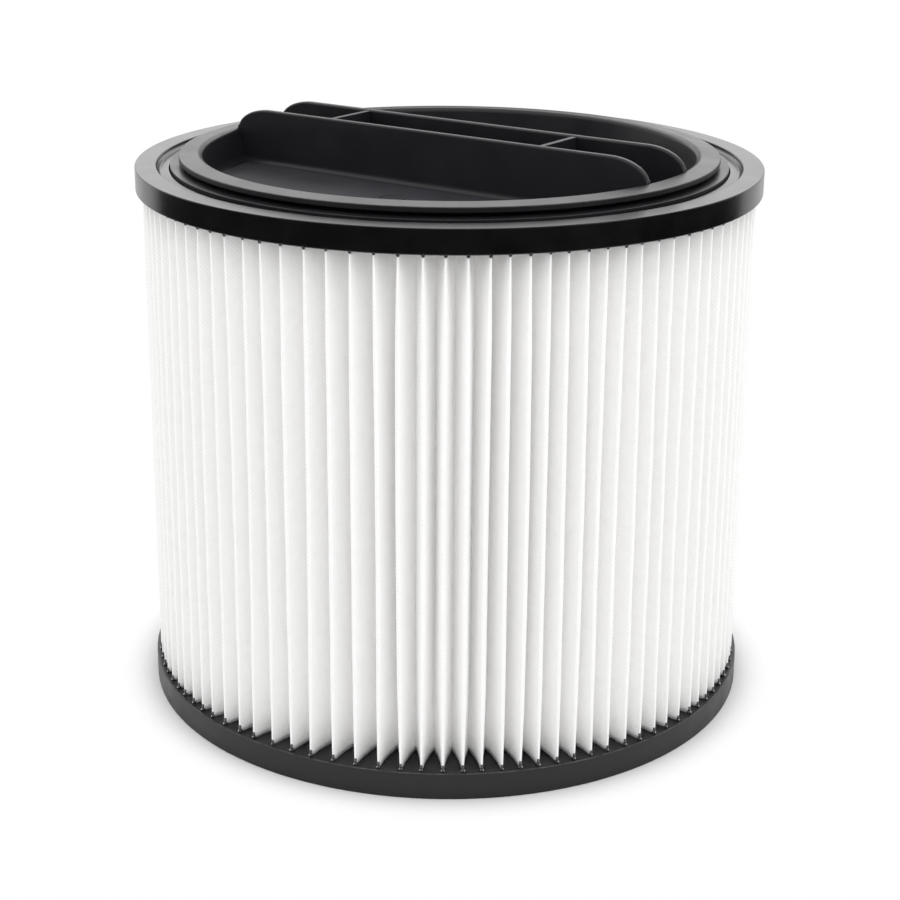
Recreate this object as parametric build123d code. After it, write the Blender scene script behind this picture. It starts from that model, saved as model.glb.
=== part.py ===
from build123d import *
import math
import os

# Pleated cartridge filter for a wet/dry vacuum, standing on its open end with the closing lid on top.
# Millimetres, +Z up, origin at the centre of the bottom face. The lid's finger blades run along X.

# Pleated media
PLEAT_COUNT = 98
PLEAT_OUTER_RADIUS = 97.9
PLEAT_DEPTH = 13.0
MEDIA_THICKNESS = 0.6
FOLD_INSIDE_WIDTH = 0.3
MEDIA_LENGTH = 158.0
# The pleats were gathered by hand: two slow waves crowd some and spread others, in degrees
FIRST_PLEAT_ANGLE = -57.5
WIDE_WAVES = 3
WIDE_SWING = 1.55
WIDE_PHASE = 156.5
FINE_WAVES = 6
FINE_SWING = 0.62
FINE_PHASE = 16.0

# Support core inside the pleats
CORE_WALL = 2.0
CORE_CLEARANCE = 0.4
CORE_COLUMNS = 12
CORE_ROWS = 3
CORE_POST_WIDTH = 6.0
CORE_RING_HEIGHT = 6.0

# Bottom end cap
BOTTOM_CAP_OVERHANG = 1.3
BOTTOM_CAP_HEIGHT = 8.5
BOTTOM_CAP_SHELF = 5.5
BOTTOM_LEAD_IN = 2.0
CAP_EDGE_BEVEL = 0.8

# Top end cap
TOP_CAP_OVERHANG = 2.1
TOP_CAP_HEIGHT = 7.6
TOP_GROOVE_WIDTH = 3.8
TOP_GROOVE_DEPTH = 1.3
TOP_GROOVE_BEVEL = 0.4
TOP_SEAT_DEPTH = 4.2
RIM_BEVEL = 0.6

# Lid
LID_CLEARANCE = 0.4
LID_CORE_GAP = 1.5
BOWL_WALL = 2.4
BOWL_DRAFT = 1.2
BOWL_FLOOR_THICKNESS = 2.4
BOWL_FLOOR_BEVEL = 2.0
LID_FOOT_WIDTH = 8.0
LID_FOOT_BELOW_RIM = 0.1
LIP_WIDTH = 7.6
LIP_THICKNESS = 2.2
LIP_ABOVE_RIM = 3.3
LIP_BEVEL = 0.4
LIP_INNER_BEVEL = 1.0
BOWL_DEPTH = 11.2

# Finger blades across the bowl and the ribs that tie them together
BLADE_SPACING = 22.4
BLADE_THICKNESS = 2.4
BLADE_ABOVE_LIP = 7.0
BLADE_END_REACH = 1.2
BLADE_CORNER_LENGTH = 13.5
BLADE_EDGE_BEVEL = 0.4
BLADE_ROOT_FLARE = 1.6
RIB_SPACING = 81.0
RIB_THICKNESS = 1.8
RIB_BELOW_BLADE = 0.4

# Heights and radii that follow from the sizes above
MEDIA_BOTTOM = BOTTOM_CAP_HEIGHT
MEDIA_TOP = MEDIA_BOTTOM + MEDIA_LENGTH
RIM_TOP = MEDIA_TOP + TOP_CAP_HEIGHT
SEAT_TOP = RIM_TOP - TOP_SEAT_DEPTH
PLEAT_INNER_RADIUS = PLEAT_OUTER_RADIUS - PLEAT_DEPTH
CORE_OUTER_RADIUS = PLEAT_INNER_RADIUS - CORE_CLEARANCE
CORE_INNER_RADIUS = CORE_OUTER_RADIUS - CORE_WALL
BOTTOM_CAP_RADIUS = PLEAT_OUTER_RADIUS + BOTTOM_CAP_OVERHANG
BOTTOM_BORE_RADIUS = CORE_INNER_RADIUS - BOTTOM_CAP_SHELF
BOWL_OUTER_RADIUS = CORE_INNER_RADIUS - LID_CORE_GAP
BOWL_RADIUS = BOWL_OUTER_RADIUS - BOWL_WALL
LIP_RADIUS = BOWL_RADIUS + LIP_WIDTH
LID_FOOT_RADIUS = BOWL_OUTER_RADIUS + LID_FOOT_WIDTH
LID_FOOT_TOP = RIM_TOP - LID_FOOT_BELOW_RIM
TOP_CAP_RADIUS = PLEAT_OUTER_RADIUS + TOP_CAP_OVERHANG
TOP_SEAT_RADIUS = LID_FOOT_RADIUS + LID_CLEARANCE
TOP_RIM_INNER_RADIUS = TOP_SEAT_RADIUS + TOP_GROOVE_WIDTH
TOP_BORE_RADIUS = BOWL_OUTER_RADIUS + LID_CLEARANCE
LIP_TOP = RIM_TOP + LIP_ABOVE_RIM
LIP_BOTTOM = LIP_TOP - LIP_THICKNESS
BOWL_FLOOR = LIP_TOP - BOWL_DEPTH
BOWL_BOTTOM = BOWL_FLOOR - BOWL_FLOOR_THICKNESS
BLADE_TOP = LIP_TOP + BLADE_ABOVE_LIP


def turned(points, bevels):
    """Revolve a closed (radius, height) outline about Z, with its (corner, size) bevels."""
    outline = make_face(Polyline(*points, close=True))
    for point, size in bevels:
        corner = outline.vertices().sort_by_distance(Vector(*point))[0]
        outline = chamfer(corner, size)
    return revolve(Plane.XZ * outline, Axis.Z)


def pleat_angle(index):
    """Direction of one pleat's tip, in degrees about Z."""
    even = FIRST_PLEAT_ANGLE + 360.0 * index / PLEAT_COUNT
    wide = WIDE_SWING * math.cos(math.radians(WIDE_WAVES * even + WIDE_PHASE))
    fine = FINE_SWING * math.cos(math.radians(FINE_WAVES * even + FINE_PHASE))
    return even + wide + fine


def fold_corners(radius, angle, width):
    """The two ends of a fold's flat crest, square to its own direction."""
    direction = Vector(1, 0).rotate(Axis.Z, angle)
    across = Vector(0, 1).rotate(Axis.Z, angle)
    centre = direction * radius
    return [centre - across * (width / 2), centre + across * (width / 2)]


def pleated_outline(tip_radius, tip_width, valley_radius, valley_width):
    """One face of the folded sheet as a closed outline round the ring."""
    points = []
    for index in range(PLEAT_COUNT):
        tip = pleat_angle(index)
        valley = (tip + pleat_angle(index + 1)) / 2
        points += fold_corners(tip_radius, tip, tip_width)
        points += fold_corners(valley_radius, valley, valley_width)
    return make_face(Polyline(*points, close=True))


def pleated_media():
    """One sheet folded into tall pleats and joined into a ring."""
    crest = FOLD_INSIDE_WIDTH + 2 * MEDIA_THICKNESS
    valley_outside = PLEAT_INNER_RADIUS + MEDIA_THICKNESS
    tip_inside = PLEAT_OUTER_RADIUS - MEDIA_THICKNESS
    outer = pleated_outline(PLEAT_OUTER_RADIUS, crest, valley_outside, FOLD_INSIDE_WIDTH)
    inner = pleated_outline(tip_inside, FOLD_INSIDE_WIDTH, PLEAT_INNER_RADIUS, crest)
    return Pos(0, 0, MEDIA_BOTTOM) * extrude(outer - inner, MEDIA_LENGTH)


def support_core():
    """A tube of upright posts and rings that keeps the pleats from being sucked in."""
    tube = Cylinder(CORE_OUTER_RADIUS, MEDIA_LENGTH) - Cylinder(CORE_INNER_RADIUS, MEDIA_LENGTH)
    column_pitch = 2 * math.pi * CORE_OUTER_RADIUS / CORE_COLUMNS
    row_pitch = (MEDIA_LENGTH - CORE_RING_HEIGHT) / CORE_ROWS
    window = Box(2 * CORE_WALL, column_pitch - CORE_POST_WIDTH, row_pitch - CORE_RING_HEIGHT)
    mid_wall = CORE_OUTER_RADIUS - CORE_WALL / 2
    columns = PolarLocations(mid_wall, CORE_COLUMNS)
    rows = [Pos(0, 0, row_pitch * (row - (CORE_ROWS - 1) / 2)) for row in range(CORE_ROWS)]
    windows = [row * column * window for row in rows for column in columns]
    return Pos(0, 0, MEDIA_BOTTOM + MEDIA_LENGTH / 2) * (tube - windows)


def bottom_end_cap():
    """The poured ring at the open end, which seals on the vacuum's filter cage."""
    outer_bottom = (BOTTOM_CAP_RADIUS, 0)
    outer_top = (BOTTOM_CAP_RADIUS, BOTTOM_CAP_HEIGHT)
    outline = [
        (BOTTOM_BORE_RADIUS, BOTTOM_CAP_HEIGHT),
        (BOTTOM_BORE_RADIUS, BOTTOM_LEAD_IN),
        (BOTTOM_BORE_RADIUS + BOTTOM_LEAD_IN, 0),
        outer_bottom,
        outer_top,
    ]
    return turned(outline, [(outer_bottom, CAP_EDGE_BEVEL), (outer_top, CAP_EDGE_BEVEL)])


def top_end_cap():
    """The poured flange at the closed end, with a stepped seat for the lid."""
    groove_bottom = RIM_TOP - TOP_GROOVE_DEPTH
    outer_bottom = (TOP_CAP_RADIUS, MEDIA_TOP)
    outer_top = (TOP_CAP_RADIUS, RIM_TOP)
    rim_edge = (TOP_RIM_INNER_RADIUS, RIM_TOP)
    groove_corner = (TOP_RIM_INNER_RADIUS, groove_bottom)
    outline = [
        (TOP_BORE_RADIUS, MEDIA_TOP),
        outer_bottom,
        outer_top,
        rim_edge,
        groove_corner,
        (TOP_SEAT_RADIUS, groove_bottom),
        (TOP_SEAT_RADIUS, SEAT_TOP),
        (TOP_BORE_RADIUS, SEAT_TOP),
    ]
    bevels = [
        (outer_bottom, RIM_BEVEL),
        (outer_top, RIM_BEVEL),
        (rim_edge, RIM_BEVEL),
        (groove_corner, TOP_GROOVE_BEVEL),
    ]
    return turned(outline, bevels)


def lid_shell():
    """The turned form of the lid: bowl, foot that sits in the cap, neck and overhanging lip."""
    lip_inner = (BOWL_RADIUS, LIP_TOP)
    lip_outer_top = (LIP_RADIUS, LIP_TOP)
    lip_outer_bottom = (LIP_RADIUS, LIP_BOTTOM)
    foot_edge = (LID_FOOT_RADIUS, LID_FOOT_TOP)
    floor_corner = (BOWL_RADIUS - BOWL_DRAFT, BOWL_FLOOR)
    bottom_corner = (BOWL_OUTER_RADIUS, BOWL_BOTTOM)
    outline = [
        (0, BOWL_BOTTOM),
        bottom_corner,
        (BOWL_OUTER_RADIUS, SEAT_TOP),
        (LID_FOOT_RADIUS, SEAT_TOP),
        foot_edge,
        (BOWL_OUTER_RADIUS, LID_FOOT_TOP),
        (BOWL_OUTER_RADIUS, LIP_BOTTOM),
        lip_outer_bottom,
        lip_outer_top,
        lip_inner,
        floor_corner,
        (0, BOWL_FLOOR),
    ]
    bevels = [
        (lip_outer_bottom, LIP_BEVEL),
        (lip_outer_top, LIP_BEVEL),
        (lip_inner, LIP_INNER_BEVEL),
        (foot_edge, LIP_BEVEL),
        (floor_corner, BOWL_FLOOR_BEVEL),
        (bottom_corner, BOWL_FLOOR_BEVEL),
    ]
    return turned(outline, bevels)


def finger_blade():
    """An upright wall across the bowl, with both top corners swept down to the lip."""
    half_length = math.sqrt((BOWL_RADIUS + BLADE_END_REACH) ** 2 - (BLADE_SPACING / 2) ** 2)
    corner_start = half_length - BLADE_CORNER_LENGTH
    foot = BOWL_FLOOR - BOWL_FLOOR_THICKNESS / 2
    right_corner = EllipticalCenterArc((corner_start, LIP_TOP), BLADE_CORNER_LENGTH, BLADE_ABOVE_LIP, 0, arc_size=90)
    left_corner = EllipticalCenterArc((-corner_start, LIP_TOP), BLADE_CORNER_LENGTH, BLADE_ABOVE_LIP, 90, arc_size=90)
    outline = Curve() + [
        Line((-half_length, foot), (half_length, foot)),
        Line((half_length, foot), (half_length, LIP_TOP)),
        right_corner,
        Line((corner_start, BLADE_TOP), (-corner_start, BLADE_TOP)),
        left_corner,
        Line((-half_length, LIP_TOP), (-half_length, foot)),
    ]
    wall = extrude(Plane.XZ * make_face(outline), BLADE_THICKNESS / 2, both=True)
    top_edges = [edge for edge in wall.edges() if edge.center().Z > LIP_TOP and abs(edge.center().Y) > 0]
    return chamfer(top_edges, BLADE_EDGE_BEVEL) + blade_root(corner_start)


def blade_root(half_length):
    """The flare on both sides of a blade where it grows out of the bowl's floor."""
    half_wall = BLADE_THICKNESS / 2
    toe = half_wall + BLADE_ROOT_FLARE
    foot = BOWL_FLOOR - BOWL_FLOOR_THICKNESS / 2
    top = BOWL_FLOOR + BLADE_ROOT_FLARE
    outline = [
        (-toe, foot),
        (toe, foot),
        (toe, BOWL_FLOOR),
        (half_wall, top),
        (-half_wall, top),
        (-toe, BOWL_FLOOR),
    ]
    return extrude(Plane.YZ * make_face(Polyline(*outline, close=True)), half_length, both=True)


def tie_rib():
    """A thin wall square to the blades that ties them together."""
    foot = BOWL_FLOOR - BOWL_FLOOR_THICKNESS / 2
    height = BLADE_TOP - RIB_BELOW_BLADE - foot
    return Pos(0, 0, foot + height / 2) * Box(RIB_THICKNESS, BLADE_SPACING, height)


def lid():
    """One moulding: the turned shell, two finger blades and two tie ribs."""
    body = lid_shell()
    for side in (-1, 1):
        body += Pos(0, side * BLADE_SPACING / 2, 0) * finger_blade()
        body += Pos(side * RIB_SPACING / 2, 0, 0) * tie_rib()
    return body


def main():
    """Write each piece to its own file."""
    pieces = {
        "pleated_media": pleated_media(),
        "support_core": support_core(),
        "bottom_end_cap": bottom_end_cap(),
        "top_end_cap": top_end_cap(),
        "lid": lid(),
    }
    os.makedirs("parts", exist_ok=True)
    for name, piece in pieces.items():
        export_step(piece, f"parts/{name}.step")


main()
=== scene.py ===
"""Dresses the pleated cartridge filter: folded media, poured end caps, moulded lid and a white studio."""

import logging
import math
import random
from collections.abc import Sequence
from dataclasses import dataclass
from enum import Enum

import bmesh
import bpy
from bpy.types import ID, Material, Mesh, NodeInputs, NodeOutputs, NodeSocket, NodeTree, Object
from mathutils import Matrix, Vector


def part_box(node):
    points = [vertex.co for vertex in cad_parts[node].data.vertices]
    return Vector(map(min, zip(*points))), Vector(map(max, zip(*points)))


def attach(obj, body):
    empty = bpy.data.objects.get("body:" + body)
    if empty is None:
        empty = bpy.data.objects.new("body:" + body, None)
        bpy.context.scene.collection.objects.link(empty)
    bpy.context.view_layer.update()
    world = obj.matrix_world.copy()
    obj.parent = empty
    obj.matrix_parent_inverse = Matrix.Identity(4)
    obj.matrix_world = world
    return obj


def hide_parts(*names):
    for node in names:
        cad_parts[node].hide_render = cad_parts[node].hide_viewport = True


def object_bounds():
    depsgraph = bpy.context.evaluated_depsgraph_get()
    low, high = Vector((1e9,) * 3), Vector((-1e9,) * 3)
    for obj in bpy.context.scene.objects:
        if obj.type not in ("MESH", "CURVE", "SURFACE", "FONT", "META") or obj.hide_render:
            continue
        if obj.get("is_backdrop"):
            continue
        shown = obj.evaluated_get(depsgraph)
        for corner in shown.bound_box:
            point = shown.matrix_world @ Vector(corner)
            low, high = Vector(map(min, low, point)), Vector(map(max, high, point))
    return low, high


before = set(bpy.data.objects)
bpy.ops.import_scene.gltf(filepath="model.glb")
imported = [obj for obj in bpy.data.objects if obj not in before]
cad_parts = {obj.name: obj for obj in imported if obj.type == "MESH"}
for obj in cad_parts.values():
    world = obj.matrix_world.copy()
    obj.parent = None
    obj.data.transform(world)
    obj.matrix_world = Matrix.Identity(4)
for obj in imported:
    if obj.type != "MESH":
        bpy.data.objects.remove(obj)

MM = 0.001
NEAR = 0.01 * MM
BODY = "root"
LOG = logging.getLogger("filter")

FLOAT = "NodeSocketFloat"
COLOUR = "NodeSocketColor"
MOTTLE_DETAIL = 5.0
MOTTLE_LOW = 0.3
MOTTLE_HIGH = 0.7
GRAIN_DETAIL = 3.0
LINT_DETAIL = 4.0
LINT_START = 0.82
LINT_FULL = 0.86

SHEET_MAP = "Sheet"
CREST_TURNS = (-82, -54, -27, 0, 27, 54, 82)
VALLEY_TURNS = (75, 0, -75)
FLANK_SHARES = (1 / 3, 2 / 3)
ROUND_PROFILE = 0.5

Point2 = tuple[float, float]
Point3 = tuple[float, float, float]
Colour = tuple[float, float, float, float]
Face = tuple[int, ...]


class Slot(Enum):
    """Names of the record's material slots; no piece here is given one."""

    MEDIA = "media"
    CAP = "cap"
    LID = "lid"


def grey(level: float) -> Colour:
    """An opaque neutral colour."""
    return (level, level, level, 1.0)


@dataclass(frozen=True)
class Finish:
    """A solid finish: two colours that drift into each other, a gloss, a fine grain and a little lint.

    Sizes of mottle, grain and lint are in millimetres.
    """

    name: str
    dark: Colour
    light: Colour
    roughness: float
    mottle_size: float
    grain_size: float
    grain_depth: float
    lint_and_glint_colour: Colour
    lint_size: float = 2.0
    lint_amount: float = 0.06
    roughness_drift: float = 0.1
    specular: float = 0.5


POURED_BLACK = Finish(
    name="poured_black",
    dark=(0.003, 0.0028, 0.0031, 1.0),
    light=(0.006, 0.0056, 0.0063, 1.0),
    roughness=0.24,
    roughness_drift=0.04,
    mottle_size=9.0,
    grain_size=1.6,
    grain_depth=0.003,
    lint_size=2.2,
    lint_and_glint_colour=(0.08, 0.08, 0.085, 1.0),
)
CAST_BLACK = Finish(
    name="cast_black",
    dark=(0.0075, 0.0068, 0.0078, 1.0),
    light=(0.0105, 0.0096, 0.0108, 1.0),
    roughness=0.4,
    roughness_drift=0.12,
    specular=0.4,
    mottle_size=11.0,
    grain_size=0.8,
    grain_depth=0.012,
    lint_and_glint_colour=(0.09, 0.09, 0.095, 1.0),
)
WET_BLACK = Finish(
    name="wet_black",
    dark=(0.003, 0.003, 0.0035, 1.0),
    light=(0.006, 0.006, 0.007, 1.0),
    roughness=0.06,
    roughness_drift=0.04,
    specular=1.0,
    mottle_size=4.0,
    grain_size=1.2,
    grain_depth=0.004,
    lint_and_glint_colour=grey(0.05),
)
MOULDED_BLACK = Finish(
    name="moulded_black",
    dark=(0.0138, 0.0124, 0.0152, 1.0),
    light=(0.0182, 0.0166, 0.02, 1.0),
    roughness=0.36,
    roughness_drift=0.08,
    specular=0.42,
    mottle_size=14.0,
    grain_size=0.45,
    grain_depth=0.025,
    lint_size=1.8,
    lint_and_glint_colour=grey(0.1),
)
# The bowl floor's finish: its fine grain is real; its colour, lighter than the moulding's, paints the
# floor's sheen.
TEXTURED_SHEEN_BLACK = Finish(
    name="textured_painted_sheen",
    dark=(0.044, 0.042, 0.048, 1.0),
    light=(0.056, 0.053, 0.061, 1.0),
    roughness=0.5,
    roughness_drift=0.08,
    specular=0.1,
    mottle_size=16.0,
    grain_size=0.5,
    grain_depth=0.06,
    lint_size=1.8,
    lint_and_glint_colour=grey(0.1),
)
SOAKED_FELT = Finish(
    name="soaked_felt",
    dark=(0.05, 0.05, 0.055, 1.0),
    light=(0.11, 0.11, 0.12, 1.0),
    roughness=0.5,
    mottle_size=2.0,
    grain_size=0.4,
    grain_depth=0.02,
    lint_and_glint_colour=grey(0.2),
)
# Painted highlight: the lighter grey and the pale specks on edge faces stand in for the light that the
# lip's and the lower cap's outer edges catch.
PAINTED_EDGE_HIGHLIGHT = Finish(
    name="painted_edge_highlight",
    dark=(0.006, 0.006, 0.0063, 1.0),
    light=grey(0.1),
    roughness=0.45,
    specular=0.4,
    mottle_size=3.0,
    grain_size=0.4,
    grain_depth=0.03,
    lint_size=1.5,
    lint_and_glint_colour=grey(0.3),
)
CORE_BLACK = Finish(
    name="core_black",
    dark=(0.012, 0.012, 0.013, 1.0),
    light=(0.02, 0.02, 0.021, 1.0),
    roughness=0.5,
    mottle_size=12.0,
    grain_size=0.6,
    grain_depth=0.03,
    lint_and_glint_colour=grey(0.12),
)


@dataclass(frozen=True)
class Felt:
    """The sheet's white, point-bonded felt. Sizes in millimetres."""

    name: str = "bonded_felt"
    dark: Colour = (0.937, 0.935, 0.93, 1.0)
    light: Colour = (0.965, 0.963, 0.959, 1.0)
    roughness: float = 0.85
    specular: float = 0.25
    sheen: float = 0.08
    mottle_size: float = 3.0
    fibre_size: float = 0.5
    fibre_depth: float = 0.03
    dot_pitch: float = 1.3
    dot_depth: float = 0.03
    dot_shade: float = 0.95


def between(start: float, end: float, share: float) -> float:
    """The value that lies a share of the way from start to end."""
    return start + (end - start) * share


def arc(centre: Point2, radius: float, start: float, end: float, steps: int) -> list[Point2]:
    """Points along an arc.

    Args:
        centre: Centre of the arc.
        radius: Its radius.
        start: First angle, in degrees.
        end: Last angle, in degrees.
        steps: Number of straight steps.

    Returns:
        The points from start to end, both included.
    """
    points = []
    for step in range(steps + 1):
        angle = math.radians(start + (end - start) * step / steps)
        points.append((centre[0] + radius * math.cos(angle), centre[1] + radius * math.sin(angle)))
    return points


def extent(node: str) -> Point3:
    """Outer radius, lowest and highest point of a round CAD node, in millimetres."""
    low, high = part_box(node)
    return high[0] / MM, low[2] / MM, high[2] / MM


def linked(name: str, data: ID) -> Object:
    """A new object that carries a mesh, lamp or camera, in the scene."""
    piece = bpy.data.objects.new(name, data)
    bpy.context.scene.collection.objects.link(piece)
    return piece


def mesh_object(name: str, vertices: list[Point3], faces: list[Face]) -> Object:
    """A mesh object whose vertices are given in millimetres."""
    mesh = bpy.data.meshes.new(name)
    mesh.from_pydata([Vector(vertex) * MM for vertex in vertices], [], faces)
    mesh.update()
    return linked(name, mesh)


def from_bmesh(name: str, shape: bmesh.types.BMesh) -> Object:
    """Turn an edit mesh, which is freed, into an object."""
    mesh = bpy.data.meshes.new(name)
    shape.to_mesh(mesh)
    shape.free()
    return linked(name, mesh)


def band(lower: Sequence, upper: Sequence) -> list[tuple]:
    """The corners of each face between two closed rows of corners."""
    following = [*range(1, len(lower)), 0]
    return [(lower[this], lower[after], upper[after], upper[this]) for this, after in enumerate(following)]


def lathe(
    name: str, profile: list[Point2], segments: int, closed: bool, start: float = 0.0, sweep: float = 360.0
) -> Object:
    """Turn a profile about Z.

    Args:
        name: Name of the object.
        profile: (radius, height) points in millimetres, anticlockwise; radius 0 is on the axis.
        segments: Number of steps round the axis.
        closed: Whether the last point joins the first.
        start: Where the turn starts, in degrees.
        sweep: How far it goes; less than a full turn stays open.

    Returns:
        The turned object.
    """
    columns = segments + int(sweep < 360.0)
    vertices: list[Point3] = []
    rings: list[Sequence[int]] = []
    for radius, height in profile:
        first = len(vertices)
        if radius == 0:
            vertices.append((0.0, 0.0, height))
            rings.append([first] * columns)
            continue
        for column in range(columns):
            angle = math.radians(start + sweep * column / segments)
            vertices.append((radius * math.cos(angle), radius * math.sin(angle), height))
        rings.append(range(first, first + columns))
    if closed:
        rings.append(rings[0])
    faces = []
    for lower, upper in zip(rings, rings[1:]):
        corners = [tuple(dict.fromkeys(face)) for face in band(lower, upper)[:segments]]
        faces += [face for face in corners if len(face) > 2]
    return mesh_object(name, vertices, faces)


def unite(piece: Object, tools: list[Object]) -> None:
    """Fuse solids into one mesh and remove the ones that were added.

    Args:
        piece: The object that stays.
        tools: The objects that become part of it.
    """
    for tool in tools:
        modifier = piece.modifiers.new("union", "BOOLEAN")
        modifier.operation = "UNION"
        modifier.solver = "EXACT"
        modifier.object = tool
        graph = bpy.context.evaluated_depsgraph_get()
        fused = bpy.data.meshes.new_from_object(piece.evaluated_get(graph))
        piece.modifiers.clear()
        piece.data = fused
        bpy.data.objects.remove(tool)


def soften(piece: Object, sharp_angle: float) -> None:
    """Smooth shading that keeps flats flat, and edges sharp from an angle in degrees."""
    piece.data.shade_smooth()
    piece.data.set_sharp_from_angle(angle=math.radians(sharp_angle))
    weighted = piece.modifiers.new("weighted normals", "WEIGHTED_NORMAL")
    weighted.keep_sharp = True


def paint_edge_highlight(piece: Object, material: Material, edge: Point2, reach: float) -> None:
    """Paint a highlight along a turned edge: give the faces there a finish of their own.

    Args:
        piece: The turned object.
        material: Finish of the edge, a lighter grey that paints the highlight.
        edge: Radius and height of the edge, in millimetres.
        reach: How far from the edge a face's middle may lie, in millimetres.
    """
    piece.data.materials.append(material)
    slot = len(piece.data.materials) - 1
    for polygon in piece.data.polygons:
        middle = polygon.center / MM
        if math.hypot(middle.xy.length - edge[0], middle.z - edge[1]) < reach:
            polygon.material_index = slot


def new_material(name: str) -> tuple[Material, NodeTree, NodeInputs]:
    """A new material, its node tree and the inputs of its Principled shader."""
    material = bpy.data.materials.new(name)
    material.use_nodes = True
    return material, material.node_tree, material.node_tree.nodes["Principled BSDF"].inputs


def feed(tree: NodeTree, kind: str, inputs: dict[str | int, object], **settings: object) -> NodeOutputs:
    """Add a node, set it up and connect its inputs.

    Args:
        tree: The node tree.
        kind: Type of the node, without the words ShaderNode.
        inputs: The socket to link or the value to set at each input, by name or number.
        **settings: The node's own properties.

    Returns:
        The node's outputs.
    """
    node = tree.nodes.new(f"ShaderNode{kind}")
    for label, value in settings.items():
        setattr(node, label, value)
    for label, source in inputs.items():
        if isinstance(source, NodeSocket):
            tree.links.new(source, node.inputs[label])
        else:
            node.inputs[label].default_value = source
    return node.outputs


def maths(tree: NodeTree, operation: str, *terms: NodeSocket | float) -> NodeSocket:
    """The result of a math node on one or two terms."""
    return feed(tree, "Math", dict(enumerate(terms)), operation=operation)["Value"]


class ShaderKit:
    """Node groups that several finishes share."""

    def __init__(self) -> None:
        """Build each group once."""
        self.mottle = self._mottle()
        self.grain = self._grain()
        self.lint = self._lint()

    @staticmethod
    def _group(
        name: str, inputs: dict[str, str], outputs: dict[str, str]
    ) -> tuple[NodeTree, NodeOutputs, NodeInputs]:
        """An empty shader group with its sockets.

        Args:
            name: Name of the group.
            inputs: Socket type of each input.
            outputs: Socket type of each output.

        Returns:
            The group's node tree, what comes into it and what goes out.
        """
        tree = bpy.data.node_groups.new(name, "ShaderNodeTree")
        for way, sockets in (("INPUT", inputs), ("OUTPUT", outputs)):
            for label, kind in sockets.items():
                tree.interface.new_socket(label, in_out=way, socket_type=kind)
        return tree, tree.nodes.new("NodeGroupInput").outputs, tree.nodes.new("NodeGroupOutput").inputs

    @staticmethod
    def _noise(tree: NodeTree, scale: NodeSocket, detail: float) -> NodeSocket:
        """Noise in the object's own space."""
        place = feed(tree, "TexCoord", {})["Object"]
        return feed(tree, "TexNoise", {"Vector": place, "Scale": scale, "Detail": detail})["Fac"]

    def _mottle(self) -> NodeTree:
        """Slow drift between two colours and between two gloss values."""
        tree, source, sink = self._group(
            "Slow mottle",
            {"Scale": FLOAT, "Dark": COLOUR, "Light": COLOUR, "Low": FLOAT, "High": FLOAT},
            {"Color": COLOUR, "Value": FLOAT},
        )
        noise = self._noise(tree, source["Scale"], MOTTLE_DETAIL)
        limits = {"Value": noise, "From Min": MOTTLE_LOW, "From Max": MOTTLE_HIGH}
        spread = feed(tree, "MapRange", limits)["Result"]
        colours = {"Factor": spread, "A": source["Dark"], "B": source["Light"]}
        blend = feed(tree, "Mix", colours, data_type="RGBA")["Result"]
        glosses = {"Value": spread, "To Min": source["Low"], "To Max": source["High"]}
        tree.links.new(blend, sink["Color"])
        tree.links.new(feed(tree, "MapRange", glosses)["Result"], sink["Value"])
        return tree

    def _grain(self) -> NodeTree:
        """Fine surface height, as a mould or a skin leaves it."""
        tree, source, sink = self._group("Fine grain", {"Scale": FLOAT}, {"Height": FLOAT})
        tree.links.new(self._noise(tree, source["Scale"], GRAIN_DETAIL), sink["Height"])
        return tree

    def _lint(self) -> NodeTree:
        """Sparse pale specks: lint on most finishes, painted glints on the painted edge highlight."""
        tree, source, sink = self._group("Lint specks", {"Scale": FLOAT, "Amount": FLOAT}, {"Mask": FLOAT})
        noise = self._noise(tree, source["Scale"], LINT_DETAIL)
        limit = maths(tree, "SUBTRACT", LINT_START, source["Amount"])
        limits = {"Value": noise, "From Min": limit, "From Max": LINT_FULL}
        tree.links.new(feed(tree, "MapRange", limits)["Result"], sink["Mask"])
        return tree

    def solid(self, finish: Finish) -> Material:
        """A moulded or poured finish.

        Args:
            finish: Colours, gloss, grain and lint.

        Returns:
            The material.
        """
        material, tree, surface = new_material(finish.name)
        surface["Specular IOR Level"].default_value = finish.specular
        drift = {
            "Scale": 1 / (finish.mottle_size * MM),
            "Dark": finish.dark,
            "Light": finish.light,
            "Low": finish.roughness - finish.roughness_drift / 2,
            "High": finish.roughness + finish.roughness_drift / 2,
        }
        mottle = feed(tree, "Group", drift, node_tree=self.mottle)
        specks = {"Scale": 1 / (finish.lint_size * MM), "Amount": finish.lint_amount}
        lint = feed(tree, "Group", specks, node_tree=self.lint)
        colours = {"Factor": lint["Mask"], "A": mottle["Color"], "B": finish.lint_and_glint_colour}
        grain = feed(tree, "Group", {"Scale": 1 / (finish.grain_size * MM)}, node_tree=self.grain)
        relief = {"Height": grain["Height"], "Distance": finish.grain_depth * MM}
        tree.links.new(feed(tree, "Mix", colours, data_type="RGBA")["Result"], surface["Base Color"])
        tree.links.new(mottle["Value"], surface["Roughness"])
        tree.links.new(feed(tree, "Bump", relief)["Normal"], surface["Normal"])
        return material


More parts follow.
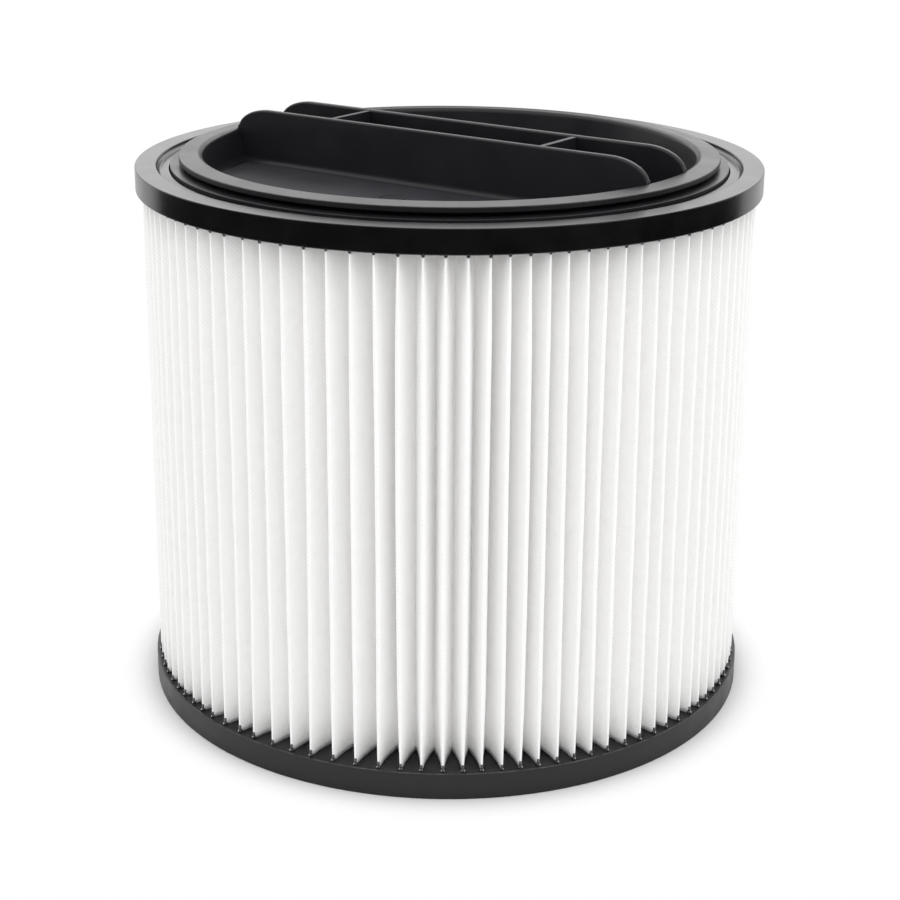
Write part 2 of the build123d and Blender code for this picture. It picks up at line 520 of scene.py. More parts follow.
@dataclass
class PleatPack:
    """The folded media ring. Lengths in millimetres, angles in degrees."""

    count: int = 98
    outer_radius: float = 97.9
    depth: float = 13.0
    thickness: float = 0.6
    first_angle: float = -57.5
    wide_waves: int = 3
    wide_swing: float = 1.55
    wide_phase: float = 156.5
    fine_waves: int = 6
    fine_swing: float = 0.62
    fine_phase: float = 16.0
    crest_middle: float = 0.42
    crest_end: float = 0.14
    crest_run: float = 30.0
    valley_fold: float = 0.42
    thickness_end: float = 0.24
    lean: float = 0.45
    bow: float = 0.3
    ripple: float = 0.07
    ripple_half_waves: int = 9
    bulge_middle: float = 0.14
    bulge_end: float = -0.4
    outer_rows: int = 49
    inner_rows: int = 13
    seed: int = 11

    def __post_init__(self) -> None:
        """Take the height from the frame and draw each pleat's own lean, bow and ripple."""
        self.bottom, self.top = extent("pleated_media")[1:]
        draw = random.Random(self.seed)
        self.leans = [draw.uniform(-self.lean, self.lean) for _ in range(self.count)]
        self.bows = [draw.uniform(-self.bow, self.bow) for _ in range(self.count)]
        self.phases = [draw.uniform(0, 2 * math.pi) for _ in range(self.count)]

    def tip_angle(self, index: int, share: float) -> float:
        """Direction of a pleat's tip.

        Args:
            index: Number of the pleat.
            share: Height as a share of the pleat's length.

        Returns:
            Angle about Z, in degrees.
        """
        turns, number = divmod(index, self.count)
        even = self.first_angle + 360.0 * number / self.count
        wide = self.wide_swing * math.cos(math.radians(self.wide_waves * even + self.wide_phase))
        fine = self.fine_swing * math.cos(math.radians(self.fine_waves * even + self.fine_phase))
        sway = self.leans[number] * (share - 0.5) + self.bows[number] * math.sin(math.pi * share)
        return even + wide + fine + sway + 360.0 * turns

    def swell(self, height: float) -> float:
        """How far the folds have opened at a height: 0 where the ends are cast in, 1 between them."""
        from_end = min(height - self.bottom, self.top - height) / self.crest_run
        return math.sin(math.pi / 2 * min(max(from_end, 0.0), 1.0))

    def sheet_thickness(self, height: float) -> float:
        """Thickness of the sheet, pressed thinner where its ends are cast in."""
        return between(self.thickness_end, self.thickness, self.swell(height))

    def section(self, height: float) -> list[Vector]:
        """The middle line of the sheet at one height.

        Args:
            height: Height in millimetres.

        Returns:
            Points round the ring, the same number at every height.
        """
        share = (height - self.bottom) / (self.top - self.bottom)
        swell = self.swell(height)
        radius = between(self.crest_end, self.crest_middle, swell)
        pinch = between(self.crest_end, self.valley_fold, swell)
        bulge = between(self.bulge_end, self.bulge_middle, swell)
        half = self.sheet_thickness(height) / 2
        tip_radius = self.outer_radius - half
        valley_radius = self.outer_radius - self.depth + half
        points: list[Vector] = []
        for index in range(self.count):
            tip = self.tip_angle(index, share)
            following = self.tip_angle(index + 1, share)
            phase = self.phases[index] + self.ripple_half_waves * math.pi * share
            wave = self.ripple * swell * math.sin(phase)
            crest = self._fold(tip, tip_radius - radius + wave, radius, CREST_TURNS)
            hollow = self._fold((tip + following) / 2, valley_radius + pinch, -pinch, VALLEY_TURNS)
            ahead = self._fold(following, tip_radius - radius, radius, CREST_TURNS[:1])
            points += crest + self._flank(crest[-1], hollow[0], bulge)
            points += hollow + self._flank(hollow[-1], ahead[0], bulge)
        return points

    @staticmethod
    def _fold(angle: float, centre: float, radius: float, turns: tuple[float, ...]) -> list[Vector]:
        """Points round one fold.

        Args:
            angle: The fold's direction, in degrees about Z.
            centre: Distance of the fold's centre from the axis.
            radius: Radius of the fold; negative opens inwards.
            turns: Angles round the fold, from its middle.

        Returns:
            The points in order round the ring.
        """
        rotation = Matrix.Rotation(math.radians(angle), 2)
        points = []
        for turn in turns:
            lean = math.radians(turn)
            points.append(rotation @ Vector((centre + radius * math.cos(lean), radius * math.sin(lean))))
        return points

    @staticmethod
    def _flank(start: Vector, end: Vector, bulge: float) -> list[Vector]:
        """Two points on the wall between a tip and a valley, bowed out by a bulge."""
        along = end - start
        outward = Vector((along.y, -along.x)).normalized()
        return [start + along * share + outward * bulge for share in FLANK_SHARES]

    def _heights(self, rows: int) -> list[float]:
        """Heights of the rows, closer together near both ends."""
        heights = []
        for row in range(rows):
            even = row / (rows - 1)
            eased = 0.5 - 0.5 * math.cos(math.pi * even)
            heights.append(self.bottom + (self.top - self.bottom) * (even + eased) / 2)
        return heights

    @staticmethod
    def _offset(line: list[Vector], distance: float) -> list[Vector]:
        """A closed line moved sideways, outwards for a positive distance."""
        moved = []
        for number, point in enumerate(line):
            before = line[number - 1]
            after = line[(number + 1) % len(line)]
            along = (after - before).normalized()
            moved.append(point + Vector((along.y, -along.x)) * distance)
        return moved

    def build(self) -> Object:
        """The folded sheet: up its outer face, over its edge and down its inner face.

        Returns:
            The media object, with sheet coordinates in millimetres as its UV map.
        """
        vertices: list[Point3] = []
        lines: list[Sequence[int]] = []
        outward = [(height, 0.5) for height in self._heights(self.outer_rows)]
        inward = [(height, -0.5) for height in reversed(self._heights(self.inner_rows))]
        for height, side in outward + inward:
            line = self._offset(self.section(height), side * self.sheet_thickness(height))
            lines.append(range(len(vertices), len(vertices) + len(line)))
            vertices += [(point.x, point.y, height) for point in line]
        faces: list[Face] = []
        for lower, upper in zip(lines, lines[1:] + lines[:1]):
            faces += band(lower, upper)
        piece = mesh_object("pleated_sheet", vertices, faces)
        width = self._lay_flat(piece.data, len(lines[0]))
        piece.data.shade_smooth()
        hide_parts("pleated_media")
        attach(piece, BODY)
        return piece

    def _lay_flat(self, mesh: Mesh, around: int) -> float:
        """Write each corner's place on the unfolded sheet, in millimetres, as the UV map.

        Args:
            mesh: The sheet's mesh.
            around: Number of points in one row.

        Returns:
            The unfolded sheet's width, in millimetres.
        """
        line = self.section((self.bottom + self.top) / 2)
        run = [0.0]
        for number in range(around):
            run.append(run[-1] + (line[(number + 1) % around] - line[number]).length)
        layer = mesh.uv_layers.new(name=SHEET_MAP)
        for polygon in mesh.polygons:
            columns = [mesh.loops[loop].vertex_index % around for loop in polygon.loop_indices]
            wraps = 0 in columns and around - 1 in columns
            for loop, column in zip(polygon.loop_indices, columns):
                across = run[around] if wraps and column == 0 else run[column]
                height = mesh.vertices[mesh.loops[loop].vertex_index].co.z / MM
                layer.data[loop].uv = (across, height)
        return run[around]

    def dress(self, kit: ShaderKit, piece: Object, felt: Felt) -> None:
        """Give the sheet its felt.

        Args:
            kit: Shared node groups.
            piece: The media object.
            felt: Its finish.
        """
        material, tree, surface = new_material(felt.name)
        surface["Roughness"].default_value = felt.roughness
        surface["Specular IOR Level"].default_value = felt.specular
        surface["Sheen Weight"].default_value = felt.sheen
        drift = {"Scale": 1 / (felt.mottle_size * MM), "Dark": felt.dark, "Light": felt.light}
        mottle = feed(tree, "Group", drift, node_tree=kit.mottle)
        dots = self._dots(tree, felt.dot_pitch)
        colours = {"Factor": dots, "A": mottle["Color"], "B": grey(felt.dot_shade)}
        pressed = feed(tree, "Mix", colours, data_type="RGBA", blend_type="MULTIPLY")
        fibre = feed(tree, "Group", {"Scale": 1 / (felt.fibre_size * MM)}, node_tree=kit.grain)
        relief = {"Height": fibre["Height"], "Distance": felt.fibre_depth * MM}
        fuzz = feed(tree, "Bump", relief)["Normal"]
        relief = {"Height": dots, "Distance": felt.dot_depth * MM, "Normal": fuzz}
        tree.links.new(pressed["Result"], surface["Base Color"])
        tree.links.new(feed(tree, "Bump", relief, invert=True)["Normal"], surface["Normal"])
        piece.data.materials.append(material)

    @staticmethod
    def _dots(tree: NodeTree, pitch: float) -> NodeSocket:
        """Diagonal rows of bonding points on the unfolded sheet.

        Args:
            tree: The material's node tree.
            pitch: Distance between points along a row, in millimetres.

        Returns:
            A mask that is 1 in the middle of each point.
        """
        place = feed(tree, "UVMap", {}, uv_map=SHEET_MAP)["UV"]
        split = feed(tree, "SeparateXYZ", {"Vector": place})
        squares = []
        for operation in ("ADD", "SUBTRACT"):
            diagonal = maths(tree, operation, split["X"], split["Y"])
            wave = maths(tree, "SINE", maths(tree, "MULTIPLY", diagonal, math.pi / pitch))
            squares.append(maths(tree, "POWER", wave, 2.0))
        return maths(tree, "MULTIPLY", *squares)


@dataclass
class PottingBeads:
    """Beads of the poured caps that crept up the pleats' tips before they set. Millimetres and degrees."""

    foot_radius: float = 0.8
    foot_height: float = 2.1
    top_radius: float = 0.6
    top_height: float = 1.2
    inset: float = 0.25
    spread: float = 0.15
    first_turn: float = -30.0
    neck_turn: float = 60.0
    peak_turn: float = 90.0
    neck: tuple[Point2, ...] = ((0.5, 0.5), (0.5, 0.75), (0.42, 0.92), (0.0, 1.0))
    segments: int = 16
    dome_steps: int = 8
    seed: int = 5

    def _drop(self) -> list[Point2]:
        """Radius and height of a plain drop, as shares."""
        return arc((0.0, 0.0), 1.0, self.first_turn, self.peak_turn, self.dome_steps)

    def _wick(self) -> list[Point2]:
        """Radius and height of a round drop whose neck climbs the felt, as shares."""
        squat = self.foot_radius / self.foot_height
        dome = arc((0.0, 0.0), 1.0, self.first_turn, self.neck_turn, self.dome_steps)
        return [(share, rise * squat) for share, rise in dome] + list(self.neck)

    def build(self, pleats: PleatPack, drop: Material, neck: Material) -> Object:
        """All the beads as one piece.

        Args:
            pleats: The media that the beads cling to.
            drop: Finish of the drops.
            neck: Finish of the felt that they climb.

        Returns:
            The beads object.
        """
        draw = random.Random(self.seed)
        beads = bmesh.new()
        rows = (
            (0.0, pleats.bottom, self.foot_radius, self.foot_height, self._wick()),
            (1.0, pleats.top, self.top_radius, -self.top_height, self._drop()),
        )
        for index in range(pleats.count):
            for share, height, radius, tall, profile in rows:
                size = 1 + draw.uniform(-self.spread, self.spread)
                shape = Matrix.Diagonal((radius * size, radius * size, tall * size, 1.0))
                turn = Matrix.Rotation(math.radians(pleats.tip_angle(index, share)), 4, "Z")
                place = Matrix.Translation((pleats.outer_radius - self.inset, 0.0, height))
                self._bead(beads, profile, Matrix.Scale(MM, 4) @ turn @ place @ shape)
        bmesh.ops.recalc_face_normals(beads, faces=beads.faces)
        piece = from_bmesh("potting_beads", beads)
        piece.data.shade_smooth()
        piece.data.materials.append(drop)
        piece.data.materials.append(neck)
        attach(piece, BODY)
        return piece

    def _bead(self, beads: bmesh.types.BMesh, profile: list[Point2], matrix: Matrix) -> None:
        """Add one closed bead.

        Args:
            beads: The edit mesh that holds them all.
            profile: (radius, height) shares, from the widest end to the peak.
            matrix: Size and place of the bead.
        """
        rings = []
        for share, rise in profile[:-1]:
            ring = []
            for step in range(self.segments):
                angle = 2 * math.pi * step / self.segments
                corner = Vector((share * math.cos(angle), share * math.sin(angle), rise))
                ring.append(beads.verts.new(matrix @ corner))
            rings.append(ring)
        peak = beads.verts.new(matrix @ Vector((0.0, 0.0, 1.0)))
        beads.faces.new(rings[0])
        for number, (lower, upper) in enumerate(zip(rings, rings[1:])):
            for corners in band(lower, upper):
                face = beads.faces.new(corners)
                face.material_index = int(number > self.dome_steps)
        for step in range(self.segments):
            face = beads.faces.new((rings[-1][step], rings[-1][(step + 1) % self.segments], peak))
            face.material_index = int(len(rings) > self.dome_steps + 1)


@dataclass
class EndCaps:
    """The two poured rings. Lengths in millimetres."""

    segments: int = 256
    edge_round: float = 0.35
    highlight_share: float = 0.7
    bore_radius: float = 77.0
    lead_in: float = 2.0
    rim_inner: float = 93.2
    rim_round: float = 0.35
    rim_under_round: float = 0.5
    shelf_depth: float = 1.3
    shelf_radius: float = 90.2
    channel_depth: float = 1.7
    channel_round: float = 1.3
    seat_radius: float = 89.4
    seat_depth: float = 4.2
    top_bore: float = 81.4
    sharp_angle: float = 40.0
    arc_steps: int = 5

    def bottom(self, material: Material, edge_highlight: Material) -> Object:
        """The ring at the open end.

        Args:
            material: Its finish.
            edge_highlight: The finish of its upper edge, a painted highlight.

        Returns:
            The ring.
        """
        outer, base, top = extent("bottom_end_cap")
        edge = self.edge_round
        profile = [(self.bore_radius, base + self.lead_in), (self.bore_radius + self.lead_in, base)]
        profile += arc((outer - edge, base + edge), edge, -90, 0, self.arc_steps)
        profile += arc((outer - edge, top - edge), edge, 0, 90, self.arc_steps)
        profile += [(self.bore_radius, top)]
        piece = self._finish("lower_cap", profile, "bottom_end_cap", material)
        # Painted highlight: the faces along the upper outer edge take the lighter edge finish.
        paint_edge_highlight(piece, edge_highlight, (outer, top), edge * self.highlight_share)
        return piece

    def top(self, material: Material) -> Object:
        """The flange round the lid.

        Args:
            material: Its finish.

        Returns:
            The flange.
        """
        outer, base, top = extent("top_end_cap")
        rim = self.rim_round
        under = self.rim_under_round
        shelf = top - self.shelf_depth
        seat = top - self.seat_depth
        hollow = self.channel_round
        middle = top - self.channel_depth + hollow
        profile = [(self.top_bore, base)]
        profile += arc((outer - under, base + under), under, -90, 0, self.arc_steps)
        profile += arc((outer - rim, top - rim), rim, 0, 90, self.arc_steps)
        profile += arc((self.rim_inner + rim, top - rim), rim, 90, 180, self.arc_steps)
        profile += arc((self.rim_inner - hollow, middle), hollow, 0, -90, self.arc_steps)
        profile += [(self.shelf_radius, shelf), (self.seat_radius, shelf)]
        profile += [(self.seat_radius, seat), (self.top_bore, seat)]
        return self._finish("upper_cap", profile, "top_end_cap", material)

    def _finish(self, name: str, profile: list[Point2], node: str, material: Material) -> Object:
        """Turn a cap's profile and put it in place of its node.

        Args:
            name: Name of the piece.
            profile: Closed (radius, height) outline.
            node: The node that it stands for.
            material: Its finish.

        Returns:
            The cap.
        """
        piece = lathe(name, profile, self.segments, closed=True)
        piece.data.materials.append(material)
        soften(piece, self.sharp_angle)
        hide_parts(node)
        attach(piece, BODY)
        return piece


@dataclass
class Lid:
    """The moulded closing lid with its finger blades along X. Lengths in millimetres, angles in degrees."""

    segments: int = 256
    bowl_radius: float = 78.6
    bowl_draft: float = 1.2
    bowl_lean: float = 6.0
    bowl_wall: float = 2.4
    bowl_depth: float = 11.2
    floor_round: float = 3.0
    floor_thickness: float = 2.4
    lip_width: float = 7.6
    lip_thickness: float = 2.2
    lip_round: float = 0.4
    lip_slope: float = 0.45
    lip_inner_round: float = 1.8
    highlight_share: float = 0.55
    foot_width: float = 8.0
    foot_below_rim: float = 0.1
    foot_round: float = 0.2
    seat_below_rim: float = 4.2
    blade_spacing: float = 22.4
    blade_thickness: float = 2.4
    blade_rise: float = 7.0
    blade_reach: float = 1.2
    blade_corner: float = 13.5
    blade_round: float = 0.85
    blade_steps: int = 24
    bevel_segments: int = 3
    root_round: float = 2.2
    flat_normal: float = 0.97
    rib_spacing: float = 81.0
    rib_thickness: float = 1.8
    rib_drop: float = 0.4
    mark_radius: float = 4.0
    mark_offset: float = 31.0
    mark_width: float = 0.35
    mark_segments: int = 48
    sharp_angle: float = 38.0
    arc_steps: int = 6

    def __post_init__(self) -> None:
        """Take the heights from the frame."""
        self.blade_top = extent("lid")[2]
        self.lip_top = self.blade_top - self.blade_rise
        self.floor = self.lip_top - self.bowl_depth
        self.rim = extent("top_end_cap")[2]
        self.seat = self.rim - self.seat_below_rim
        self.sunk = self.floor - self.floor_thickness / 2

    def _shell(self) -> Object:
        """The turned form: bowl, foot, neck and lip."""
        outer = self.bowl_radius + self.bowl_wall
        under = self.floor - self.floor_thickness
        lip_outer = self.bowl_radius + self.lip_width
        lip_bottom = self.lip_top - self.lip_thickness
        foot_outer = outer + self.foot_width
        foot_top = self.rim - self.foot_below_rim
        floor_radius = self.bowl_radius - self.bowl_draft
        foot = self.foot_round
        edge = self.lip_round
        inner = self.lip_inner_round
        ease = self.floor_round
        lean = self.bowl_lean
        steps = self.arc_steps
        profile: list[Point2] = [(0.0, under)]
        profile += arc((outer - ease, under + ease), ease, -90, 0, steps)
        profile += [(outer, self.seat), (foot_outer, self.seat)]
        profile += arc((foot_outer - foot, foot_top - foot), foot, 0, 90, steps)
        profile += [(outer, foot_top), (outer, lip_bottom)]
        profile += arc((lip_outer - edge, lip_bottom + edge), edge, -90, 0, steps)
        profile += arc((lip_outer - edge, self.lip_top - self.lip_slope - edge), edge, 0, 90, steps)
        profile += arc((self.bowl_radius + inner, self.lip_top - inner), inner, 90, 180 - lean, steps)
        profile += arc((floor_radius - ease, self.floor + ease), ease, -lean, -90, steps)
        profile += [(0.0, self.floor)]
        return lathe("lid_moulding", profile, self.segments, closed=False)

    def _pair(self, outline: list[Point3], along: Point3) -> bmesh.types.BMesh:
        """A straight bar at the place of each blade.

        Args:
            outline: Corners of one end in millimetres, as for a blade on the lid's middle line.
            along: The way from that end to the other, in millimetres.

        Returns:
            An edit mesh with both bars.
        """
        pair = bmesh.new()
        for side in (-1, 1):
            offset = side * self.blade_spacing / 2
            face = pair.faces.new([pair.verts.new(Vector((x, y + offset, z)) * MM) for x, y, z in outline])
            grown = bmesh.ops.extrude_face_region(pair, geom=[face])
            moved = [item for item in grown["geom"] if isinstance(item, bmesh.types.BMVert)]
            bmesh.ops.translate(pair, verts=moved, vec=[length * MM for length in along])
        bmesh.ops.recalc_face_normals(pair, faces=pair.faces)
        return pair

    def _blades(self) -> Object:
        """Both finger blades with rounded top edges."""
        half = math.sqrt((self.bowl_radius + self.blade_reach) ** 2 - (self.blade_spacing / 2) ** 2)
        start = half - self.blade_corner
        near = -self.blade_thickness / 2
        outline = [(-half, near, self.sunk), (half, near, self.sunk)]
        for side, first, last in ((1, 0, 90), (-1, 90, 180)):
            for across, up in arc((0.0, 0.0), 1.0, first, last, self.blade_steps):
                x = side * start + self.blade_corner * across
                outline.append((x, near, self.lip_top + self.blade_rise * up))
        blades = self._pair(outline, (0.0, self.blade_thickness, 0.0))
        level = (self.lip_top + self.blade_round) * MM
        bmesh.ops.bevel(
            blades,
            geom=[edge for edge in blades.edges if self._is_rim(edge, level)],
            offset=self.blade_round * MM,
            segments=self.bevel_segments,
            profile=ROUND_PROFILE,
            affect="EDGES",
        )
        return from_bmesh("finger_blades", blades)

    @staticmethod
    def _is_rim(edge: bmesh.types.BMEdge, level: float) -> bool:
        """Whether an edge runs along a blade's top, above a level in metres."""
        one, other = (vertex.co for vertex in edge.verts)
        return min(one.z, other.z) > level and abs(one.y - other.y) < NEAR

    def _roots(self) -> Object:
        """The hollow rounds where the blades grow out of the floor."""
        toe = self.blade_thickness / 2 + self.root_round
        crown = self.floor + self.root_round
        section = [(-toe, self.sunk), (toe, self.sunk)]
        section += arc((toe, crown), self.root_round, 270, 180, self.arc_steps)
        section += arc((-toe, crown), self.root_round, 0, -90, self.arc_steps)
        reach = self.bowl_radius - self.bowl_draft
        roots = self._pair([(-reach, y, z) for y, z in section], (2 * reach, 0.0, 0.0))
        return from_bmesh("blade_roots", roots)

    def _ribs(self) -> Object:
        """The two thin walls that tie the blades together."""
        ribs = bmesh.new()
        top = self.blade_top - self.rib_drop
        tall = top - self.sunk
        size = Matrix.Diagonal((self.rib_thickness * MM, self.blade_spacing * MM, tall * MM, 1.0))
        for side in (-1, 1):
            middle = Vector((side * self.rib_spacing / 2, 0.0, (top + self.sunk) / 2)) * MM
            bmesh.ops.create_cube(ribs, size=1.0, matrix=Matrix.Translation(middle) @ size)
        return from_bmesh("tie_ribs", ribs)

    def _marks(self) -> list[Object]:
        """Faint rings that the ejector pins left on the bowl's floor."""
        half = self.mark_width / 2
        low = self.floor - half
        profile = [(self.mark_radius - half, low), (self.mark_radius + half, low)]
        profile += [(self.mark_radius, self.floor + half)]
        rings = []
        for side in (-1, 1):
            ring = lathe("pin_mark", profile, self.mark_segments, closed=True)
            ring.data.transform(Matrix.Translation((0, side * self.mark_offset * MM, 0)))
            rings.append(ring)
        return rings

    def build(self, smooth: Material, textured_sheen: Material, edge_highlight: Material) -> Object:
        """The whole moulding as one mesh.

        Args:
            smooth: Its finish.
            textured_sheen: The finish of the bowl's floor: a fine grain, and a colour lighter than the
                moulding's that paints the floor's sheen.
            edge_highlight: The finish of the lip's outer edge, a painted highlight.

        Returns:
            The lid.
        """
        piece = self._shell()
        unite(piece, [self._blades(), self._roots(), self._ribs(), *self._marks()])
        piece.data.materials.clear()
        piece.data.materials.append(smooth)
        piece.data.materials.append(textured_sheen)
        # The flat floor of the bowl takes the textured finish, whose lighter colour paints its sheen.
        for polygon in piece.data.polygons:
            height = polygon.center.z / MM
            on_floor = abs(height - self.floor) < self.floor_thickness / 2
            polygon.material_index = int(on_floor and polygon.normal.z > self.flat_normal)
        # Painted highlight: the faces along the lip's outer edge take the lighter edge finish.
        rim = (self.bowl_radius + self.lip_width, self.lip_top - self.lip_slope)
        paint_edge_highlight(piece, edge_highlight, rim, self.lip_round * self.highlight_share)
        soften(piece, self.sharp_angle)
        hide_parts("lid")
        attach(piece, BODY)
        return piece


@dataclass
class Studio:
    """White floor, softboxes, dark screens and the photograph's camera. Metres, degrees and watts."""

    azimuth: float = 35.0
    distance: float = 0.5854
    height: float = 0.2869
    pitch: float = 16.846
    roll: float = 0.398
    focal_px: float = 1844.7
    frame_px: float = 900.0
    centre_px: Point2 = (448.3, 350.0)
    sensor: float = 36.0
    clip_range: Point2 = (0.01, 20.0)
    right_power: float = 0.85
    left_power: float = 0.35
    catch_power: float = 9.0
    catch_place: Point3 = (1.05, -0.15, 0.45)
    catch_size: Point2 = (0.4, 0.8)
    side_place: Point3 = (0.85, -0.62, 0.5)
    side_size: Point2 = (0.32, 0.7)
    back_power: float = 7.0
    back_place: Point3 = (0.0, 1.2, 1.1)
    back_size: Point2 = (1.8, 0.8)
    low_power: float = 0.5
    low_place: Point3 = (0.45, 1.54, 0.52)
    low_size: Point2 = (0.5, 0.6)
    aim: Point3 = (0.0, 0.0, 0.1)
    ambient: float = 1.03
    floor_radius: float = 4.0
    floor_segments: int = 96
    floor_white: float = 0.96
    fade_start: float = 0.099
    fade_end: float = 0.112
    flag_inner: float = 0.26
    flag_outer: float = 1.8
    flag_height: float = 0.002
    flag_reach: float = 122.0
    dark_radius: float = 2.4
    dark_reach: float = 95.0
    dark_top: float = 32.0
    dark_steps: int = 12
    band_reach: float = 7.5
    band_top: float = 15.0
    band_steps: int = 4
    sweep_steps: int = 48
    diffuse_bounces: int = 12

    def _turned(self, point: Sequence[float]) -> Vector:
        """A point given to the camera's right, away from it and up, in the part's frame."""
        return Matrix.Rotation(math.radians(self.azimuth), 3, "Z") @ Vector(point)

    def camera(self) -> None:
        """Place the camera where the photograph was taken from."""
        data = bpy.data.cameras.new("photo_camera")
        data.sensor_width = self.sensor
        data.lens = self.sensor * self.focal_px / self.frame_px
        data.shift_x = (self.frame_px / 2 - self.centre_px[0]) / self.frame_px
        data.shift_y = (self.centre_px[1] - self.frame_px / 2) / self.frame_px
        data.clip_start, data.clip_end = self.clip_range
        camera = linked("photo_camera", data)
        camera.location = self._turned((0.0, -self.distance, self.height))
        turn = Matrix.Rotation(math.radians(self.azimuth), 4, "Z")
        tip = Matrix.Rotation(math.radians(90 - self.pitch), 4, "X")
        twist = Matrix.Rotation(math.radians(self.roll), 4, "Z")
        camera.rotation_euler = (turn @ tip @ twist).to_euler()
        bpy.context.scene.camera = camera

    def _softbox(self, name: str, place: Sequence[float], size: Point2, power: float) -> Object:
        """A rectangular lamp aimed at the object.

        Args:
            name: Name of the lamp.
            place: To the camera's right, away from it and up.
            size: Width and height.
            power: Its power.

        Returns:
            The lamp.
        """
        data = bpy.data.lights.new(name, "AREA")
        data.shape = "RECTANGLE"
        data.size, data.size_y = size
        data.energy = power
        lamp = linked(name, data)
        lamp.location = self._turned(place)
        lamp.rotation_euler = (self._turned(self.aim) - lamp.location).to_track_quat("-Z", "Y").to_euler()
        lamp.visible_camera = False
        return lamp

    def lamps(self, beads: Object) -> None:
        """Tall softboxes at the sides, and behind and beside the object lamps that only gloss mirrors.

        Args:
            beads: What the catch lights glint on.
        """
        glints = bpy.data.collections.new("glints")
        glints.objects.link(beads)
        for side, sign, power in (("right", 1, self.right_power), ("left", -1, self.left_power)):
            across = Matrix.Diagonal((sign, 1, 1))
            self._softbox(f"{side}_softbox", across @ Vector(self.side_place), self.side_size, power)
            low_place = across @ Vector(self.low_place)
            low = self._softbox(f"{side}_low_softbox", low_place, self.low_size, self.low_power)
            low.visible_diffuse = False
            catch_place = across @ Vector(self.catch_place)
            catch = self._softbox(f"{side}_catch_light", catch_place, self.catch_size, self.catch_power)
            catch.visible_diffuse = False
            catch.light_linking.receiver_collection = glints
        back = self._softbox("back_softbox", self.back_place, self.back_size, self.back_power)
        back.visible_diffuse = False

    @staticmethod
    def _seen(tree: NodeTree) -> NodeSocket:
        """A mask that is 1 for what the camera sees, straight or through gloss and glass."""
        path = feed(tree, "LightPath", {})
        seen = path["Is Camera Ray"]
        for label in ("Is Glossy Ray", "Is Transmission Ray"):
            seen = maths(tree, "MAXIMUM", seen, path[label])
        return seen

    def world(self) -> None:
        """White where it is seen, a soft fill where it only lights, and bounces that reach into folds."""
        scene = bpy.context.scene
        scene.cycles.diffuse_bounces = self.diffuse_bounces
        scene.cycles.max_bounces = self.diffuse_bounces
        scene.world = bpy.data.worlds.new("studio")
        scene.world.use_nodes = True
        tree = scene.world.node_tree
        background = tree.nodes["Background"]
        background.inputs["Color"].default_value = grey(1.0)
        strength = feed(tree, "MapRange", {"Value": self._seen(tree), "To Min": self.ambient})
        tree.links.new(strength["Result"], background.inputs["Strength"])

    def floor(self) -> None:
        """A white floor that keeps the object's shadow and fades to plain white further off."""
        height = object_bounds()[0][2] / MM
        profile = [(0.0, height), (self.floor_radius / MM, height)]
        plate = lathe("floor", profile, self.floor_segments, closed=False)
        plate.data.flip_normals()
        material, tree, _ = new_material("floor_white")
        tree.nodes.remove(tree.nodes["Principled BSDF"])
        matte = feed(tree, "BsdfDiffuse", {"Color": grey(self.floor_white)})["BSDF"]
        glow = feed(tree, "Emission", {})["Emission"]
        place = feed(tree, "TexCoord", {})["Object"]
        reach = feed(tree, "VectorMath", {0: place}, operation="LENGTH")["Value"]
        limits = {"Value": reach, "From Min": self.fade_start, "From Max": self.fade_end}
        fade = feed(tree, "MapRange", limits, interpolation_type="SMOOTHSTEP")["Result"]
        share = maths(tree, "MULTIPLY", fade, self._seen(tree))
        blend = feed(tree, "MixShader", {"Fac": share, 1: matte, 2: glow})["Shader"]
        tree.links.new(blend, tree.nodes["Material Output"].inputs["Surface"])
        plate.data.materials.append(material)
        plate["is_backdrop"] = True

    def flags(self) -> None:
        """Black cloth on the floor, behind the camera and low behind the object that only gloss mirrors."""
        material, _, cloth = new_material("flag_black")
        cloth["Base Color"].default_value = grey(0.0)
        cloth["Specular IOR Level"].default_value = 0.0
        level = (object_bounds()[0][2] + self.flag_height) / MM
        low = [(self.flag_inner / MM, level), (self.flag_outer / MM, level)]
        high = arc((0.0, 0.0), self.dark_radius / MM, 0, self.dark_top, self.dark_steps)
        strip = arc((0.0, 0.0), self.dark_radius / MM, 0, self.band_top, self.band_steps)
        front = self.azimuth - 90
        screens = (
            ("floor_flag", low, front, self.flag_reach),
            ("dark_room", high, front, self.dark_reach),
            ("back_band", strip, front + 180, self.band_reach),
        )
        for name, profile, middle, reach in screens:
            start = middle - reach
            screen = lathe(name, profile, self.sweep_steps, closed=False, start=start, sweep=2 * reach)
            screen.data.materials.append(material)
            screen.visible_camera = False
            screen.visible_diffuse = False
            screen.visible_transmission = False
            screen.visible_shadow = False
            screen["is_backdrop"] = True


def dress_core(kit: ShaderKit) -> None:
    """Give the support core its moulded finish."""
    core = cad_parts["support_core"]
    core.data.materials.clear()
    core.data.materials.append(kit.solid(CORE_BLACK))


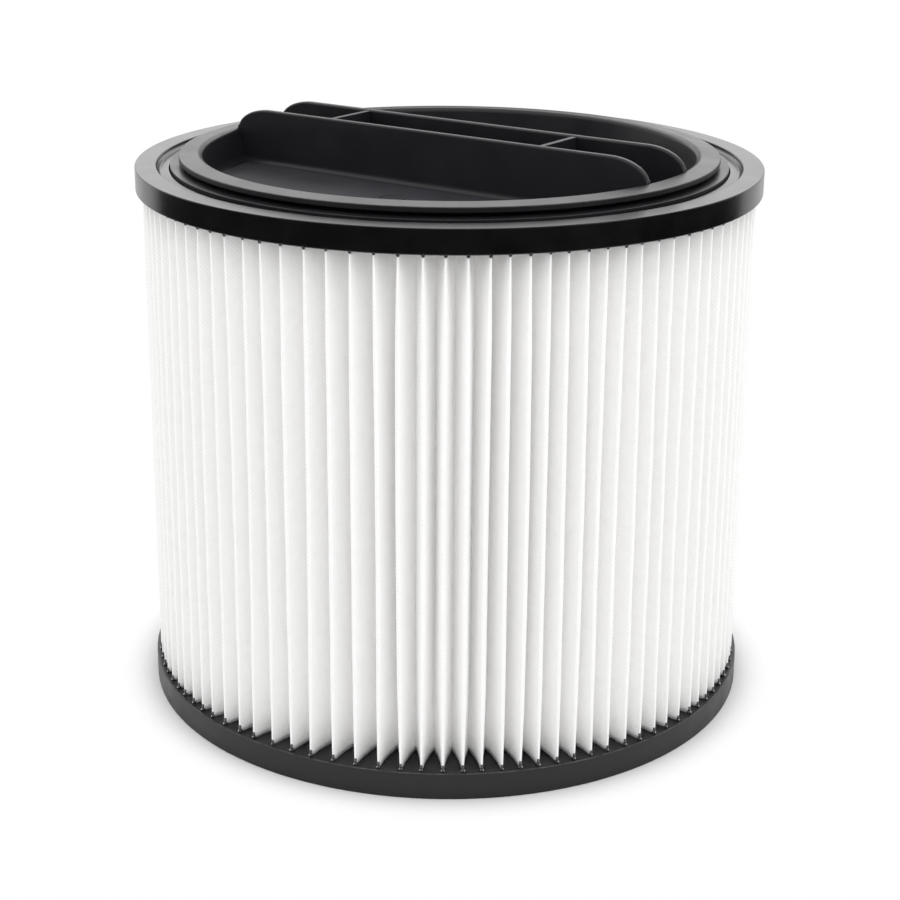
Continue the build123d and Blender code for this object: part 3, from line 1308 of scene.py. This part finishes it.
def main() -> None:
    """Build, dress and light the filter."""
    logging.basicConfig(level=logging.INFO)
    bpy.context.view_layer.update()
    bpy.context.scene.view_settings.view_transform = "Standard"
    kit = ShaderKit()
    pleats = PleatPack()
    sheet = pleats.build()
    pleats.dress(kit, sheet, Felt())
    caps = EndCaps()
    # The lighter edge finish paints the highlight on the lower cap's and the lid's outer edges.
    edge_highlight = kit.solid(PAINTED_EDGE_HIGHLIGHT)
    lower_cap = caps.bottom(kit.solid(CAST_BLACK), edge_highlight)
    upper_cap = caps.top(kit.solid(POURED_BLACK))
    beads = PottingBeads().build(pleats, kit.solid(WET_BLACK), kit.solid(SOAKED_FELT))
    lid = Lid().build(kit.solid(MOULDED_BLACK), kit.solid(TEXTURED_SHEEN_BLACK), edge_highlight)
    for piece in (sheet, lower_cap, upper_cap, beads, lid):
        LOG.info("%s: %d faces", piece.name, len(piece.data.polygons))
    dress_core(kit)
    studio = Studio()
    studio.camera()
    studio.lamps(beads)
    studio.world()
    studio.floor()
    studio.flags()


if __name__ == "__main__":
    main()
